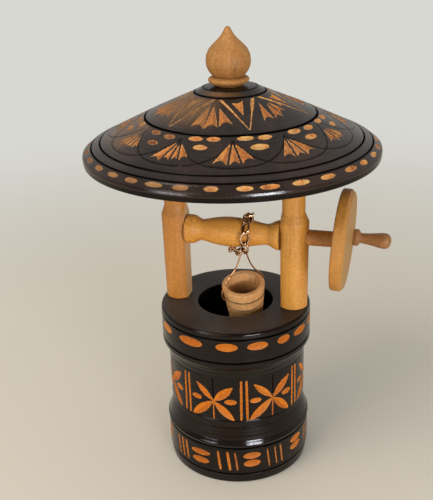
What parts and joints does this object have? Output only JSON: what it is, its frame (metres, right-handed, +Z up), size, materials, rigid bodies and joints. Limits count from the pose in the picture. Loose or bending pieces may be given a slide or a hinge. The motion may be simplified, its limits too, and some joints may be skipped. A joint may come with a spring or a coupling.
{
  "type": "wishing well planter",
  "caption": "Turned and carved wooden wishing well: round bored body, posts, wide conical roof with a finial, and a crank windlass whose chain holds a small bucket over the well.",
  "frame": {"origin": "centre of the well body's flat bottom face", "axes": "+Z up, +X along the windlass towards the crank, -Y the front of the well"},
  "size_m": [0.1561, 0.1506, 0.239],
  "materials": {
    "dark_stained_wood": "near-black brown stain under gloss lacquer, with carved cuts in bare orange wood",
    "pale_wood": "light orange tan, satin lacquer",
    "red_wood": "warm reddish brown, satin",
    "bucket_wood": "tan, satin, with short grain flecks",
    "finial_wood": "mid brown, gloss lacquer",
    "chain_metal": "dull rose-gold plating"
  },
  "bodies": {
    "frame": {"well_body": "dark_stained_wood", "left_post": "pale_wood", "right_post": "pale_wood", "roof": "dark_stained_wood", "finial": "finial_wood"},
    "windlass": {"drum": "pale_wood", "left_pivot_pin": "red_wood", "crank_shaft": "red_wood", "crank_wheel": "pale_wood", "crank_handle": "red_wood"},
    "chain_loop": {"chain_link_01": "chain_metal", "chain_link_02": "chain_metal", "chain_link_03": "chain_metal", "chain_link_04": "chain_metal", "chain_link_05": "chain_metal", "chain_link_06": "chain_metal", "chain_link_07": "chain_metal", "chain_link_08": "chain_metal", "chain_link_09": "chain_metal", "chain_link_10": "chain_metal", "chain_link_11": "chain_metal", "chain_link_12": "chain_metal"},
    "bail": {"bucket_bail": "chain_metal"},
    "bucket": {"bucket": "bucket_wood"}
  },
  "joints": [
    {"name": "windlass_turn", "type": "hinge", "parent": "frame", "child": "windlass", "pos_m": [0, 0, 0.1326], "axis": [1, 0, 0], "continuous": true},
    {"name": "chain_swing", "type": "hinge", "parent": "frame", "child": "chain_loop", "pos_m": [0, 0, 0.1326], "axis": [1, 0, 0], "range_deg": [-3, 4]},
    {"name": "bail_swing", "type": "hinge", "parent": "chain_loop", "child": "bail", "pos_m": [0.007, -0.00805, 0.1252], "axis": [1, 0, 0], "range_deg": [-3, 8]},
    {"name": "bucket_tilt", "type": "hinge", "parent": "bail", "child": "bucket", "pos_m": [0.00584, -0.00382, 0.10073], "axis": [0.6428, 0.7464, 0.1723], "range_deg": [-6, 8]}
  ]
}
